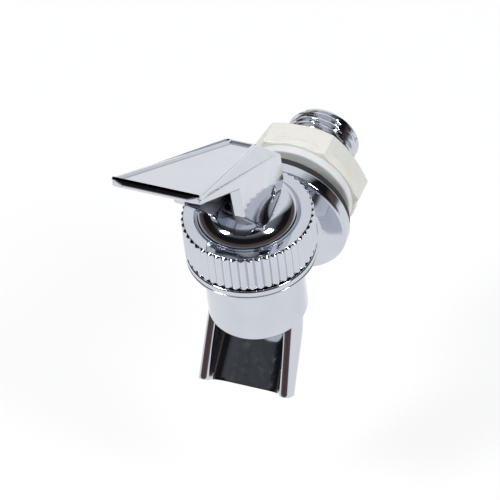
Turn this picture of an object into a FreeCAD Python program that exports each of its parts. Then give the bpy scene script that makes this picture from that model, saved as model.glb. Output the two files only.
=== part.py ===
import FreeCAD, Part
import math
import os
import Sketcher

# Beverage dispenser spigot, in millimetres. +Z is up and the spout faces -Y.
# The origin is the centre of the gasket face that seals on the jar's wall,
# on the axis of the threaded tail.

DIMENSIONS = [
    # Places
    ("barrel_offset", 21.0, "barrel axis in front of the wall"),
    ("pin_height", 25.4, "lever pin above the inlet axis"),
    # Wall fitting
    ("flange_radius", 14.5, "wall flange of the body"),
    ("flange_thick", 3.0, "wall flange of the body"),
    ("neck_radius", 8.2, "inlet neck between barrel and flange"),
    ("neck_flare", 1.0, "where the neck meets the flange"),
    ("tail_radius", 7.9, "threaded tail, for a 16 mm hole"),
    ("tail_length", 22.0, "threaded tail behind the wall face"),
    ("tail_chamfer", 1.0, "lead-in of the tail"),
    ("inlet_bore_radius", 5.5, "water way through the tail"),
    ("wall_thick", 3.0, "jar wall between the two washers"),
    ("gasket_thick", 2.0, "outer gasket"),
    ("gasket_radius", 13.8, "outer gasket"),
    ("inner_washer_thick", 2.0, "inner washer"),
    ("inner_washer_radius", 12.5, "inner washer"),
    ("washer_play", 0.3, "radial play of both washers on the tail"),
    ("nut_across_flats", 24.0, "lock nut"),
    ("nut_thick", 7.0, "lock nut"),
    ("nut_skirt_radius", 13.0, "round foot of the lock nut"),
    ("nut_skirt_thick", 2.0, "round foot of the lock nut"),
    ("thread_play", 0.05, "radial play in the threads"),
    # Barrel
    ("barrel_radius", 10.6, "outside of the barrel"),
    ("barrel_bottom", 9.8, "barrel's lower edge below the inlet axis"),
    ("collar_step", 0.7, "collar's radius inside the bonnet's"),
    ("collar_thick", 2.2, "collar under the bonnet"),
    ("collar_top", 8.5, "collar's top above the inlet axis"),
    ("edge_chamfer", 0.5, "edges of the turned and moulded pieces"),
    ("throat_height", 6.0, "threaded throat above the collar"),
    ("throat_wall", 3.4, "throat round the bore that the valve cup slides in"),
    ("seat_depth", 6.5, "valve seat below the inlet axis"),
    ("seat_ledge", 3.0, "width of the seat round the outlet hole"),
    ("seat_chamfer", 0.6, "edge of the outlet hole"),
    # Spout
    ("spout_half_width", 9.5, "spout at the barrel"),
    ("spout_flare", 0.9, "how much wider each side is at the mouth"),
    ("spout_wall", 2.2, "walls of the spout"),
    ("spout_root_front", 4.3, "front edge where the spout leaves the barrel"),
    ("spout_root_back", 6.3, "back wall where the spout leaves the barrel"),
    ("spout_mouth_front", 14.5, "front edge at the lip's level"),
    ("spout_knee_back", 5.2, "back wall behind the barrel axis"),
    ("spout_knee_drop", 14.2, "knee of the back wall below the inlet axis"),
    ("spout_lip_front", 8.4, "lip of the back wall in front of the axis"),
    ("spout_lip_drop", 26.3, "lip below the inlet axis"),
    ("spout_lip_wall", 3.3, "sloping back wall, measured level at the lip"),
    ("spout_front_drop", 21.6, "front corner of the side walls"),
    ("spout_back_round", 6.0, "outside corners of the back wall"),
    ("spout_inner_round", 4.0, "inside corners of the back wall"),
    ("spout_lip_round", 1.1, "inside corners of the lip"),
    # Bonnet
    ("bonnet_radius", 14.0, "ribbed rim"),
    ("bonnet_gap", 0.5, "between the collar and the bonnet"),
    ("rim_wall", 2.55, "rim round the threaded throat"),
    ("rim_height", 7.6, "straight part of the ribbed rim"),
    ("rim_slope_height", 1.4, "sloping top of the ribbed rim"),
    ("rim_slope_width", 1.7, "sloping top of the ribbed rim"),
    ("dome_step", 4.0, "foot of the dome inside the rim"),
    ("dome_foot_drop", 0.4, "groove round the dome's foot"),
    ("dome_side_width", 3.0, "curved side of the dome, seen from above"),
    ("dome_curve", 5.2, "radius of the dome's curved side"),
    ("dome_height", 3.8, "dome above the groove"),
    ("dome_wall", 2.4, "wall round the spring chamber"),
    ("bonnet_wall", 2.2, "top wall of the bonnet"),
    ("rib_count", 48, "ribs round the rim"),
    ("rib_depth", 0.55, "grooves between the ribs"),
    ("rib_groove_width", 2.2, "grooves, measured at the cutter's root"),
    ("seal_thick", 1.0, "flat ring under the bonnet"),
    # Valve train
    ("stem_radius", 3.0, "stem"),
    ("stem_play", 0.08, "radial play of the stem in the bonnet"),
    ("stem_top", 3.6, "stem above the pin's axis"),
    ("pin_radius", 1.5, "lever pin"),
    ("pin_play", 0.05, "radial play of the pin in the stem's eye"),
    ("valve_lift", 3.0, "lift of the stem when the lever is down"),
    ("press_angle", 45.0, "travel of the lever in degrees"),
    ("contact_gap", 0.1, "left between pieces that press on each other"),
    ("cup_play", 0.05, "radial play of the cup's lip in the bore"),
    ("cup_lip_thick", 3.0, "lip at the top of the cup"),
    ("cup_lip_chamfer", 0.55, "lower edge of the lip"),
    ("cup_lip_bottom", 5.8, "underside of the lip above the inlet axis"),
    ("cup_waist_wall", 2.0, "cup round the stem's neck"),
    ("cup_plug_overlap", 1.8, "how far the plug covers its seat"),
    ("cup_plug_thick", 2.4, "plug at the foot of the cup"),
    ("cup_floor", 1.6, "floor of the cup under the stem"),
    ("stem_neck_radius", 2.2, "stem inside the cup's waist"),
    ("stem_collar_thick", 1.4, "collar that the spring washer sits on"),
    ("spring_washer_thick", 0.6, "spring washer"),
    ("spring_washer_edge", 0.5, "spring washer outside the spring"),
    ("spring_wire", 0.8, "diameter of the spring's wire"),
    ("spring_turns", 4.0, "turns of the spring"),
    ("wire_flat_count", 6, "flats round the spring's wire"),
    # Lever
    ("lever_root_back", 2.2, "root edge of the paddle behind the pin"),
    ("lever_root_rise", 11.5, "root edge of the paddle above the pin"),
    ("lever_tip_out", 41.5, "tip of the paddle in front of the pin"),
    ("lever_tip_rise", 40.9, "tip of the paddle above the pin"),
    ("lever_root_half", 3.15, "half width of the root edge"),
    ("lever_tip_half", 9.75, "half width of the tip"),
    ("lever_wall", 2.3, "walls of the lever"),
    ("lever_lip", 3.2, "depth of the lip at the tip"),
    ("lip_lean", 1.1, "how far the lip leans back"),
    ("root_wall", 3.4, "wall under the root edge, measured upright"),
    ("lever_tip_bow", 1.6, "bow of the tip in plan"),
    ("cheek_half", 5.7, "outside of the cheeks from the middle"),
    ("cheek_play", 0.2, "between the stem and each cheek"),
    ("cheek_front_out", 18.6, "upper front corner of the cheeks"),
    ("cheek_front_rise", 20.0, "upper front corner of the cheeks"),
    ("cheek_corner_out", 17.5, "lower front corner of the cheeks"),
    ("cheek_corner_rise", 10.8, "lower front corner of the cheeks"),
    ("hub_back", 7.2, "rear of the hub behind the pin"),
    ("hub_back_rise", 4.6, "upper end of the hub's rear face"),
    ("shoulder_rise", 3.2, "crease above the cheeks at the rear"),
    ("cam_gap", 0.15, "between the cam and the dome"),
    ("cam_step_count", 8, "steps that the cam's curve is drawn through"),
]


class Length:
    """A size with its value and the sheet formula that it comes from."""

    def __init__(self, text, value):
        self.text = text
        self.value = value

    def join(self, sign, other):
        if not isinstance(other, Length):
            other = Length(repr(float(other)), float(other))
        value = {
            "+": lambda: self.value + other.value,
            "-": lambda: self.value - other.value,
            "*": lambda: self.value * other.value,
            "/": lambda: self.value / other.value,
        }[sign]()
        return Length("(" + self.text + " " + sign + " " + other.text + ")", value)

    def __add__(self, other):
        return self.join("+", other)

    def __sub__(self, other):
        return self.join("-", other)

    def __mul__(self, other):
        return self.join("*", other)

    def __truediv__(self, other):
        return self.join("/", other)

    def __neg__(self):
        return Length("(0 - " + self.text + ")", -self.value)


doc = FreeCAD.newDocument("spigot")
sheet = doc.addObject("Spreadsheet::Sheet", "sizes")
size = {}
for row, (alias, value, note) in enumerate(DIMENSIONS, start=1):
    sheet.set("A" + str(row), alias)
    sheet.set("B" + str(row), str(value))
    sheet.set("C" + str(row), note)
    sheet.setAlias("B" + str(row), alias)
    size[alias] = Length("sizes." + alias, float(value))
doc.recompute()

ZERO = Length("0", 0.0)
PIECES = []

# Heights above the inlet axis that several pieces share
throat_top = size["collar_top"] + size["throat_height"]
bonnet_bottom = size["collar_top"] + size["bonnet_gap"]
rim_top = bonnet_bottom + size["rim_height"] + size["rim_slope_height"]
dome_foot = rim_top - size["dome_foot_drop"]
dome_top = dome_foot + size["dome_height"]
chamber_top = dome_top - size["bonnet_wall"]
seal_top = throat_top + size["seal_thick"]
cup_bottom = size["contact_gap"] - size["seat_depth"]
cup_top = size["cup_lip_bottom"] + size["cup_lip_thick"]
stem_collar_top = cup_top + size["stem_collar_thick"]
spring_seat = stem_collar_top + size["spring_washer_thick"]
nut_face = size["wall_thick"] + size["inner_washer_thick"]

# Radii that follow from the bonnet and the stem
thread_bore = size["bonnet_radius"] - size["rim_wall"]
throat_radius = thread_bore - size["thread_play"]
valve_bore = throat_radius - size["throat_wall"]
outlet_radius = valve_bore - size["seat_ledge"]
collar_radius = size["bonnet_radius"] - size["collar_step"]
dome_radius = size["bonnet_radius"] - size["dome_step"]
chamber_radius = dome_radius - size["dome_wall"]
guide_radius = size["stem_radius"] + size["stem_play"]
spring_radius = (size["stem_radius"] + chamber_radius) / 2
slot_half = size["stem_radius"] + size["cheek_play"]

# Small edges, and how far a cut runs past the solid
edge = size["edge_chamfer"]
past = size["spout_wall"]


def new_body(label, height=None, on_barrel=True):
    """A piece, placed on the barrel axis at a height or at the origin."""
    body = doc.addObject("PartDesign::Body", label)
    body.Label = label
    if on_barrel:
        body.setExpression("Placement.Base.y", "0 - sizes.barrel_offset")
    if height is not None:
        body.setExpression("Placement.Base.z", height.text)
    PIECES.append(body)
    return body


def new_sketch(body, name, role, offset=None):
    """A sketch on one of the body's own planes, moved along its normal."""
    plane = [o for o in body.Origin.OriginFeatures if o.Role == role][0]
    sketch = body.newObject("Sketcher::SketchObject", name)
    sketch.AttachmentSupport = [(plane, "")]
    sketch.MapMode = "FlatFace"
    if offset is not None:
        sketch.setExpression("AttachmentOffset.Base.z", offset.text)
    return sketch


def bind(sketch, constraint, formula):
    index = sketch.addConstraint(constraint)
    sketch.setExpression("Constraints[" + str(index) + "]", formula.text)


def draw_outline(sketch, corners):
    """A closed outline through corners given as (across, up) or (across, up, radius).

    A third value is the radius of the arc that leads on to the next corner.
    The arc bulges to the right of the way there, or to the left if negative.
    """
    count = len(corners)
    ends = []
    for i, corner in enumerate(corners):
        following = corners[(i + 1) % count]
        a = FreeCAD.Vector(corner[0].value, corner[1].value, 0)
        b = FreeCAD.Vector(following[0].value, following[1].value, 0)
        if len(corner) == 2:
            sketch.addGeometry(Part.LineSegment(a, b), False)
            ends.append((1, 2))
            continue
        radius = abs(corner[2].value)
        chord = b - a
        right = FreeCAD.Vector(chord.y, -chord.x, 0).normalize()
        rise = radius - math.sqrt(radius ** 2 - chord.Length ** 2 / 4)
        side = math.copysign(1.0, corner[2].value)
        sketch.addGeometry(Part.Arc(a, (a + b) / 2 + right * rise * side, b), False)
        starts_here = sketch.Geometry[i].StartPoint.distanceToPoint(a) < 1e-6
        ends.append((1, 2) if starts_here else (2, 1))
    for i, corner in enumerate(corners):
        following = (i + 1) % count
        sketch.addConstraint(
            Sketcher.Constraint("Coincident", i, ends[i][1], following, ends[following][0]))
        bind(sketch, Sketcher.Constraint(
            "DistanceX", -1, 1, i, ends[i][0], corner[0].value), corner[0])
        bind(sketch, Sketcher.Constraint(
            "DistanceY", -1, 1, i, ends[i][0], corner[1].value), corner[1])
        if len(corner) == 3:
            radius = corner[2] if corner[2].value > 0 else -corner[2]
            bind(sketch, Sketcher.Constraint("Radius", i, radius.value), radius)


def draw_circle(sketch, radius, across=ZERO, up=ZERO):
    centre = FreeCAD.Vector(across.value, up.value, 0)
    normal = FreeCAD.Vector(0, 0, 1)
    i = sketch.addGeometry(Part.Circle(centre, normal, radius.value), False)
    bind(sketch, Sketcher.Constraint("DistanceX", -1, 1, i, 3, across.value), across)
    bind(sketch, Sketcher.Constraint("DistanceY", -1, 1, i, 3, up.value), up)
    bind(sketch, Sketcher.Constraint("Radius", i, radius.value), radius)


def revolve(body, name, role, axis, corners, cut=False):
    """Turn an outline about an axis of its sketch, adding or cutting."""
    sketch = new_sketch(body, name + "_outline", role)
    draw_outline(sketch, corners)
    before = body.Shape.Volume if cut else 0.0
    feature = body.newObject("PartDesign::Groove" if cut else "PartDesign::Revolution", name)
    feature.Profile = sketch
    feature.ReferenceAxis = (sketch, [axis])
    feature.Angle = 360.0
    doc.recompute()
    if cut and body.Shape.Volume >= before:
        raise RuntimeError(name + " cuts nothing")
    return feature


def pad(body, name, sketch, length, midplane=False, reverse=False):
    feature = body.newObject("PartDesign::Pad", name)
    feature.Profile = sketch
    feature.setExpression("Length", length.text)
    if midplane:
        feature.SideType = "Symmetric"
    feature.Reversed = reverse
    doc.recompute()
    return feature


def pocket(body, name, sketch, length, midplane=False, reverse=False):
    before = body.Shape.Volume
    feature = body.newObject("PartDesign::Pocket", name)
    feature.Profile = sketch
    feature.setExpression("Length", length.text)
    if midplane:
        feature.SideType = "Symmetric"
    feature.Reversed = reverse
    doc.recompute()
    if body.Shape.Volume >= before:
        raise RuntimeError(name + " cuts nothing")
    return feature


def washer(label, radius, bore, back, thick):
    """A flat washer on the tail, with its rear face at the place given."""
    body = new_body(label, on_barrel=False)
    sketch = new_sketch(body, label + "_outline", "XZ_Plane", -back)
    draw_circle(sketch, radius)
    draw_circle(sketch, bore)
    pad(body, label + "_disc", sketch, thick)
    return body


# Body: barrel, collar and threaded throat are turned about the barrel axis
body = new_body("body")
collar_bottom = size["collar_top"] - size["collar_thick"]
barrel_foot = -size["barrel_bottom"]
revolve(body, "barrel", "XZ_Plane", "V_Axis", [
    (ZERO, barrel_foot),
    (size["barrel_radius"], barrel_foot),
    (size["barrel_radius"], collar_bottom),
    (collar_radius, collar_bottom + edge),
    (collar_radius, size["collar_top"] - edge),
    (collar_radius - edge, size["collar_top"]),
    (throat_radius, size["collar_top"]),
    (throat_radius, throat_top),
    (ZERO, throat_top),
])

# Body: neck, wall flange and tail are turned about the inlet axis
flange_back = size["barrel_offset"] - size["gasket_thick"]
flange_front = flange_back - size["flange_thick"]
tail_end = size["barrel_offset"] + size["tail_length"]
revolve(body, "inlet", "YZ_Plane", "H_Axis", [
    (ZERO, ZERO),
    (tail_end, ZERO),
    (tail_end, size["tail_radius"] - size["tail_chamfer"]),
    (tail_end - size["tail_chamfer"], size["tail_radius"]),
    (flange_back, size["tail_radius"]),
    (flange_back, size["flange_radius"] - edge),
    (flange_back - edge, size["flange_radius"]),
    (flange_front + edge, size["flange_radius"]),
    (flange_front, size["flange_radius"] - edge),
    (flange_front, size["neck_radius"] + size["neck_flare"]),
    (flange_front - size["neck_flare"], size["neck_radius"]),
    (ZERO, size["neck_radius"]),
])


def channel_section(name, drop, half, back, front, corner):
    """A section of the spout with rounded rear corners, at a depth."""
    sketch = new_sketch(body, name, "XY_Plane", -drop)
    draw_outline(sketch, [
        (-half, -front),
        (half, -front),
        (half, back - corner, corner),
        (half - corner, back),
        (corner - half, back, corner),
        (-half, back - corner),
    ])
    return sketch


def channel_loft(name, sections, kind):
    feature = body.newObject(kind, name)
    feature.Profile = sections[0]
    feature.Sections = sections[1:]
    feature.Ruled = True
    doc.recompute()
    return feature


# Body: the spout's walls grow wider and lean forward below the knee
mouth_half = size["spout_half_width"] + size["spout_flare"]
root_drop = size["barrel_bottom"] - size["spout_wall"]
knee_drop = size["spout_knee_drop"]
lip_drop = size["spout_lip_drop"]
knee_share = (knee_drop - root_drop) / (lip_drop - root_drop)
knee_half = size["spout_half_width"] + size["spout_flare"] * knee_share
front_reach = size["spout_mouth_front"] - size["spout_root_front"]
knee_front = size["spout_root_front"] + front_reach * knee_share
outer_round = size["spout_back_round"]
channel_loft("spout", [
    channel_section("spout_root", root_drop, size["spout_half_width"],
                    size["spout_root_back"], size["spout_root_front"], outer_round),
    channel_section("spout_knee", knee_drop, knee_half, size["spout_knee_back"],
                    knee_front, outer_round),
    channel_section("spout_lip", lip_drop, mouth_half, -size["spout_lip_front"],
                    size["spout_mouth_front"], size["spout_wall"]),
], "PartDesign::AdditiveLoft")

# Body: the open channel inside the spout. Its back wall slopes forward from the knee,
# and the cut goes on down past the lip at the same slope.
wall = size["spout_wall"]
inner_round = size["spout_inner_round"]
open_front = size["spout_mouth_front"] * 2
lean = (size["spout_lip_front"] + size["spout_knee_back"]) / (lip_drop - knee_drop)
past_lip = lip_drop + past
channel_front = size["spout_lip_front"] + size["spout_lip_wall"] + past * lean
before = body.Shape.Volume
channel_loft("channel", [
    channel_section("channel_root", size["barrel_bottom"], size["spout_half_width"] - wall,
                    size["spout_root_back"] - wall, open_front, inner_round),
    channel_section("channel_knee", knee_drop - wall / 2, knee_half - wall,
                    size["spout_knee_back"] - wall, open_front, inner_round),
    channel_section("channel_lip", past_lip, mouth_half - wall, -channel_front,
                    open_front, size["spout_lip_round"]),
], "PartDesign::SubtractiveLoft")
if body.Shape.Volume >= before:
    raise RuntimeError("the channel cuts nothing")

# Body: the mouth is cut on a slant from the side walls' front corners to the lip
mouth = new_sketch(body, "mouth_outline", "YZ_Plane")
draw_outline(mouth, [
    (-open_front, -size["spout_front_drop"]),
    (-open_front, -past_lip - past),
    (-size["spout_lip_front"], -past_lip - past),
    (-size["spout_lip_front"], -lip_drop),
    (-size["spout_mouth_front"], -size["spout_front_drop"]),
])
pocket(body, "mouth", mouth, (mouth_half + past) * 2, midplane=True)

# Body: valve bore with its seat and outlet hole
chamfer = size["seat_chamfer"]
revolve(body, "valve_bore", "XZ_Plane", "V_Axis", [
    (ZERO, -size["barrel_bottom"] - past),
    (outlet_radius, -size["barrel_bottom"] - past),
    (outlet_radius, -size["seat_depth"] - chamfer),
    (outlet_radius + chamfer, -size["seat_depth"]),
    (valve_bore, -size["seat_depth"]),
    (valve_bore, throat_top + past),
    (ZERO, throat_top + past),
], cut=True)

# Body: water way from the tail into the valve bore
inlet_bore = new_sketch(body, "inlet_bore_outline", "XZ_Plane")
draw_circle(inlet_bore, size["inlet_bore_radius"])
pocket(body, "inlet_bore", inlet_bore, tail_end + past)

# Bonnet: a turned cap with a dome, screwed on the throat
bonnet = new_body("bonnet")
chamber_chamfer = size["bonnet_wall"] / 4
revolve(bonnet, "cap", "XZ_Plane", "V_Axis", [
    (thread_bore, bonnet_bottom),
    (size["bonnet_radius"] - edge, bonnet_bottom),
    (size["bonnet_radius"], bonnet_bottom + edge),
    (size["bonnet_radius"], bonnet_bottom + size["rim_height"]),
    (size["bonnet_radius"] - size["rim_slope_width"], rim_top),
    (dome_radius + edge, rim_top),
    (dome_radius, dome_foot, size["dome_curve"]),
    (dome_radius - size["dome_side_width"], dome_top),
    (guide_radius, dome_top),
    (guide_radius, chamber_top),
    (chamber_radius - chamber_chamfer, chamber_top),
    (chamber_radius, chamber_top - chamber_chamfer),
    (chamber_radius, seal_top),
    (thread_bore, seal_top),
])

# Bonnet: V-shaped grooves leave fine ribs round the rim
groove = new_sketch(bonnet, "rib_groove_outline", "XY_Plane", bonnet_bottom)
cutter_half = size["rib_groove_width"] / 2
cutter_root = size["bonnet_radius"] + size["rib_depth"]
draw_outline(groove, [
    (size["bonnet_radius"] - size["rib_depth"], ZERO),
    (cutter_root, -cutter_half),
    (cutter_root, cutter_half),
])
rib_groove = pocket(bonnet, "rib_groove", groove,
                    size["rim_height"] + size["rim_slope_height"], reverse=True)
ribs = bonnet.newObject("PartDesign::PolarPattern", "ribs")
ribs.Originals = [rib_groove]
ribs.Axis = (groove, ["N_Axis"])
ribs.Angle = 360.0
ribs.setExpression("Occurrences", "sizes.rib_count")
bonnet.Tip = ribs
doc.recompute()

# Flat ring that seals the bonnet on the throat
bonnet_seal = new_body("bonnet_seal", throat_top)
seal_sketch = new_sketch(bonnet_seal, "bonnet_seal_outline", "XY_Plane")
draw_circle(seal_sketch, throat_radius)
draw_circle(seal_sketch, valve_bore + size["washer_play"])
pad(bonnet_seal, "bonnet_seal_ring", seal_sketch, size["seal_thick"])

# Silicone cup: lip, waist and plug in one, with a socket for the stem's button
cup = new_body("valve_cup")
lip_radius = valve_bore - size["cup_play"]
plug_radius = outlet_radius + size["cup_plug_overlap"]
waist_radius = size["stem_neck_radius"] + size["cup_waist_wall"]
stem_foot = cup_bottom + size["cup_floor"]
button_top = stem_foot + size["cup_plug_thick"]
plug_top = cup_bottom + size["cup_plug_thick"]
revolve(cup, "cup", "XZ_Plane", "V_Axis", [
    (ZERO, cup_bottom),
    (plug_radius, cup_bottom),
    (plug_radius, plug_top),
    (waist_radius, plug_top + plug_radius - waist_radius),
    (waist_radius, size["cup_lip_bottom"]),
    (lip_radius, size["cup_lip_bottom"] + size["cup_lip_chamfer"]),
    (lip_radius, cup_top),
    (size["stem_neck_radius"], cup_top),
    (size["stem_neck_radius"], button_top),
    (size["stem_radius"], button_top),
    (size["stem_radius"], stem_foot),
    (ZERO, stem_foot),
])

# Stem: turned, with a button, a neck, a collar and a cross eye for the pin
stem = new_body("stem")
stem_peak = size["pin_height"] + size["stem_top"]
revolve(stem, "rod", "XZ_Plane", "V_Axis", [
    (ZERO, stem_foot),
    (size["stem_radius"], stem_foot),
    (size["stem_radius"], button_top),
    (size["stem_neck_radius"], button_top),
    (size["stem_neck_radius"], cup_top),
    (spring_radius, cup_top),
    (spring_radius, stem_collar_top),
    (size["stem_radius"], stem_collar_top),
    (size["stem_radius"], stem_peak - edge),
    (size["stem_radius"] - edge, stem_peak),
    (ZERO, stem_peak),
])
eye = new_sketch(stem, "eye_outline", "YZ_Plane")
draw_circle(eye, size["pin_radius"] + size["pin_play"], ZERO, size["pin_height"])
pocket(stem, "eye", eye, size["cheek_half"] * 2, midplane=True)

# Spring washer on the stem's collar
spring_washer = new_body("spring_washer", stem_collar_top)
ring = new_sketch(spring_washer, "spring_washer_outline", "XY_Plane")
wire_radius = size["spring_wire"] / 2
draw_circle(ring, spring_radius + wire_radius + size["spring_washer_edge"])
draw_circle(ring, guide_radius)
pad(spring_washer, "spring_washer_disc", ring, size["spring_washer_thick"])

# Return spring between the spring washer and the bonnet. Its wire has a section of
# six flats, which keeps the facets of the long helix few.
coil = doc.addObject("Part::Helix", "coil_path")
coil_height = chamber_top - spring_seat - size["spring_wire"] - size["contact_gap"] * 2
coil.setExpression("Height", coil_height.text)
coil.setExpression("Pitch", (coil_height / size["spring_turns"]).text)
coil.setExpression("Radius", spring_radius.text)
wire = doc.addObject("Part::RegularPolygon", "wire_section")
wire.setExpression("Polygon", "sizes.wire_flat_count")
wire.setExpression("Circumradius", wire_radius.text)
wire.setExpression("Placement.Base.x", spring_radius.text)
wire.Placement.Rotation = FreeCAD.Rotation(FreeCAD.Vector(1, 0, 0), 90)
spring = doc.addObject("Part::Sweep", "return_spring")
spring.Label = "return_spring"
spring.Sections = [wire]
spring.Spine = (coil, [])
spring.Solid = True
spring.Frenet = True
spring.setExpression("Placement.Base.y", "0 - sizes.barrel_offset")
spring_foot = spring_seat + wire_radius + size["contact_gap"]
spring.setExpression("Placement.Base.z", spring_foot.text)
PIECES.append(spring)

# Pin through the cheeks and the stem's eye
pin = new_body("pivot_pin", size["pin_height"])
pin_sketch = new_sketch(pin, "pin_outline", "YZ_Plane")
draw_circle(pin_sketch, size["pin_radius"])
pad(pin, "pin", pin_sketch, size["cheek_half"] * 2, midplane=True)

# Washers on both sides of the jar's wall
washer_bore = size["tail_radius"] + size["washer_play"]
washer("flange_gasket", size["gasket_radius"], washer_bore, ZERO, size["gasket_thick"])
washer("inner_washer", size["inner_washer_radius"], washer_bore, nut_face,
       size["inner_washer_thick"])

# Lock nut: a hexagon with a round foot, on the tail's thread
nut = new_body("lock_nut", on_barrel=False)
hexagon = new_sketch(nut, "hexagon_outline", "XZ_Plane", -nut_face)
half_flats = size["nut_across_flats"] / 2
half_side = half_flats * math.tan(math.radians(30))
draw_outline(hexagon, [
    (-half_side, -half_flats),
    (half_side, -half_flats),
    (half_side * 2, ZERO),
    (half_side, half_flats),
    (-half_side, half_flats),
    (-half_side * 2, ZERO),
])
pad(nut, "hexagon", hexagon, size["nut_thick"], reverse=True)
foot = new_sketch(nut, "foot_outline", "XZ_Plane", -nut_face)
draw_circle(foot, size["nut_skirt_radius"])
pad(nut, "foot", foot, size["nut_skirt_thick"], reverse=True)
nut_bore = new_sketch(nut, "nut_bore_outline", "XZ_Plane", -nut_face)
draw_circle(nut_bore, size["tail_radius"] + size["thread_play"])
pocket(nut, "nut_bore", nut_bore, size["nut_thick"] + past)


def number(alias):
    """A size as the sheet holds it."""
    return float(sheet.get(alias))


def point(side, out, rise):
    """A point of the lever: across, in front of the pin, above the pin."""
    return FreeCAD.Vector(side, -out, rise)


def side_prism(outline, half):
    """A prism across the lever from edges drawn in its middle plane."""
    face = Part.Face(Part.Wire(outline))
    face.translate(FreeCAD.Vector(-half, 0, 0))
    return face.extrude(FreeCAD.Vector(2 * half, 0, 0))


def path(*corners):
    """Straight edges through corners (out, rise) of the middle plane."""
    points = [point(0, out, rise) for out, rise in corners]
    return [Part.makeLine(a, b) for a, b in zip(points, points[1:])]


def cross_section(out, corners):
    """A closed wire across the lever through one side's corners (side, rise)."""
    near = [point(side, out, rise) for side, rise in corners]
    far = [point(-side, out, rise) for side, rise in reversed(corners)]
    return Part.makePolygon(near + far + near[:1])


def cam_curve():
    """The foot of the cheeks, an involute round the pin.

    Its distance from the pin grows in step with the lever's angle, so it
    stays on the flat dome while the pin rises evenly.
    """
    height = number("pin_height") - dome_top.value - number("cam_gap")
    travel = math.radians(number("press_angle"))
    rate = number("valve_lift") / travel
    steps = int(number("cam_step_count"))
    points = []
    for i in range(steps + 1):
        turn = travel * i / steps
        reach = height + rate * turn
        out = reach * math.sin(turn) + rate * math.cos(turn)
        rise = rate * math.sin(turn) - reach * math.cos(turn)
        points.append(point(0, out, rise))
    curve = Part.BSplineCurve()
    curve.interpolate(points)
    return curve.toShape(), points[0], points[-1]


def make_lever():
    """The lever round its pin, from an outline in side view and one from the front."""
    wall = number("lever_wall")
    lip = number("lever_lip")
    back = -number("hub_back")
    root_out, root_rise = -number("lever_root_back"), number("lever_root_rise")
    tip_out, tip_rise = number("lever_tip_out"), number("lever_tip_rise")
    front_rise = number("cheek_front_rise")
    cheek_half = number("cheek_half")
    tip_half = number("lever_tip_half")
    slot = slot_half.value
    slope = (tip_rise - root_rise) / (tip_out - root_out)
    cam, cam_start, cam_end = cam_curve()
    hub_foot = cam_start.z
    below = hub_foot - wall
    above = tip_rise + wall

    def top_at(out):
        return root_rise + slope * (out - root_out)

    def widen(out, root, tip):
        share = (out - root_out) / (tip_out - root_out)
        return root + (tip - root) * share

    # Side view: hub, rear face, paddle, lip, front of the cheeks and the cam
    outline = path(
        (back, hub_foot + wall / 2), (back, number("hub_back_rise")), (root_out, root_rise),
        (tip_out, tip_rise), (tip_out - number("lip_lean"), tip_rise - lip),
        (number("cheek_front_out"), front_rise),
        (number("cheek_corner_out"), number("cheek_corner_rise")), (-cam_end.y, cam_end.z))
    outline.append(cam)
    outline += path((-cam_start.y, hub_foot), (back + wall / 2, hub_foot),
                    (back, hub_foot + wall / 2))
    side = side_prism(outline, tip_half * 2)

    # From the front: upright cheeks, a crease, and a top that widens to the tip
    ends = []
    for out, crease in ((back - wall, number("shoulder_rise")),
                        (tip_out + wall, top_at(tip_out + wall) - number("lip_lean"))):
        foot_half = max(widen(out, cheek_half, tip_half), cheek_half)
        top_half = widen(out, number("lever_root_half"), tip_half)
        ends.append(cross_section(out, [
            (foot_half, below), (foot_half, crease), (top_half, top_at(out))]))
    lever = side.common(Part.makeLoft(ends, True, True))

    # The tip is bowed in plan
    bow = number("lever_tip_bow")
    radius = (tip_half ** 2 + bow ** 2) / (2 * bow)
    lever = lever.common(Part.makeCylinder(radius, above - below,
                                           point(0, tip_out - radius, below)))

    # The hollow under the paddle, which is also the slot for the stem
    slot_back = back + wall
    hollow_tip = tip_out - lip
    hollow = side_prism(path(
        (slot_back, below), (slot_back, number("hub_back_rise") - wall / 2),
        (root_out + wall / 2, root_rise - number("root_wall")),
        (hollow_tip, top_at(hollow_tip) - wall), (hollow_tip, below), (slot_back, below)),
        tip_half * 2)
    ends = []
    for out in (back - wall, tip_out):
        half = max(widen(out, slot, tip_half - wall), slot)
        ends.append(cross_section(out, [(half, below - wall), (half, above)]))
    lever = lever.cut(hollow.common(Part.makeLoft(ends, True, True)))

    # Pin hole through both cheeks
    hole = Part.makeCylinder(number("pin_radius"), tip_half * 4, point(-tip_half * 2, 0, 0),
                             FreeCAD.Vector(1, 0, 0))
    return lever.cut(hole)


lever = doc.addObject("Part::Feature", "lever")
lever.Label = "lever"
lever.Shape = make_lever()
lever.Placement = FreeCAD.Placement(
    FreeCAD.Vector(0, -number("barrel_offset"), number("pin_height")), FreeCAD.Rotation())
PIECES.append(lever)

doc.recompute()

failed = [o.Label for o in doc.Objects if "Invalid" in o.State or "Error" in o.State]
for piece in PIECES:
    shape = piece.Shape
    if shape.isNull() or not shape.isValid() or len(shape.Solids) != 1:
        failed.append(piece.Label)
if failed:
    raise RuntimeError("failed: " + ", ".join(failed))

os.makedirs("parts", exist_ok=True)
for piece in PIECES:
    piece.Shape.exportStep("parts/" + piece.Label + ".step")
    box = piece.Shape.BoundBox
    print(piece.Label, "volume", round(piece.Shape.Volume, 1),
          "x", round(box.XMin, 2), round(box.XMax, 2),
          "y", round(box.YMin, 2), round(box.YMax, 2),
          "z", round(box.ZMin, 2), round(box.ZMax, 2))
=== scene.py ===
import math

import bmesh
import bpy
from mathutils import Matrix, Vector


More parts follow.
